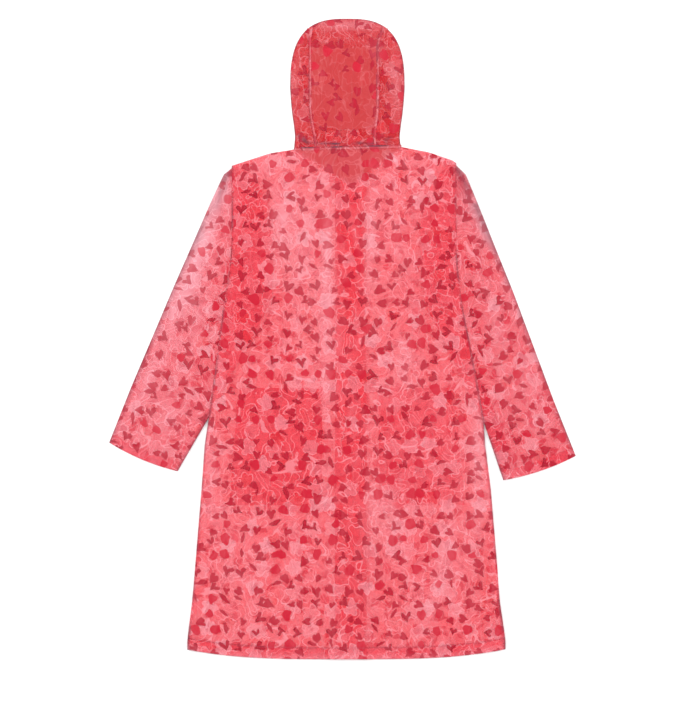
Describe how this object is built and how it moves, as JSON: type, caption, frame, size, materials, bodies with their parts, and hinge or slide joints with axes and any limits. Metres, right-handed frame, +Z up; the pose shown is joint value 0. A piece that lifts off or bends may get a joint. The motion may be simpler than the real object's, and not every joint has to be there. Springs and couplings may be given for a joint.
{
  "type": "hooded raincoat",
  "caption": "Long hooded raincoat of clear coral film with a printed leaf design, laid flat on its front, with overlapped fronts, patch pockets, flattened sleeves and a seamed hood.",
  "frame": {"origin": "on the surface it rests on, under the middle of the laid coat's bounding box", "axes": "+Y towards the hood, +X towards the wearer's right side, +Z up from the surface, out of the coat's back"},
  "size_m": [1.048, 1.4386, 0.0118],
  "materials": {
    "back_film": "clear coral film, glossy, with a printed leaf design",
    "front_film": "clear coral film, glossy, seen through the back",
    "pocket_film": "clear coral film, glossy, seen through two layers",
    "sleeve_film": "clear pink film, glossy, with a printed leaf design",
    "hood_film": "clear coral film, glossy, with a printed leaf design",
    "stud_resin": "clear moulded press studs"
  },
  "bodies": {
    "root": {"back": "back_film", "front_left": "front_film", "front_right": "front_film", "hood_left": "hood_film", "hood_middle": "hood_film", "hood_right": "hood_film", "placket": "pocket_film", "pocket_left": "pocket_film", "pocket_right": "pocket_film", "sleeve_left": "sleeve_film", "sleeve_right": "sleeve_film", "stud_1": "stud_resin", "stud_2": "stud_resin", "stud_3": "stud_resin", "stud_4": "stud_resin", "stud_5": "stud_resin", "stud_6": "stud_resin"}
  },
  "joints": []
}
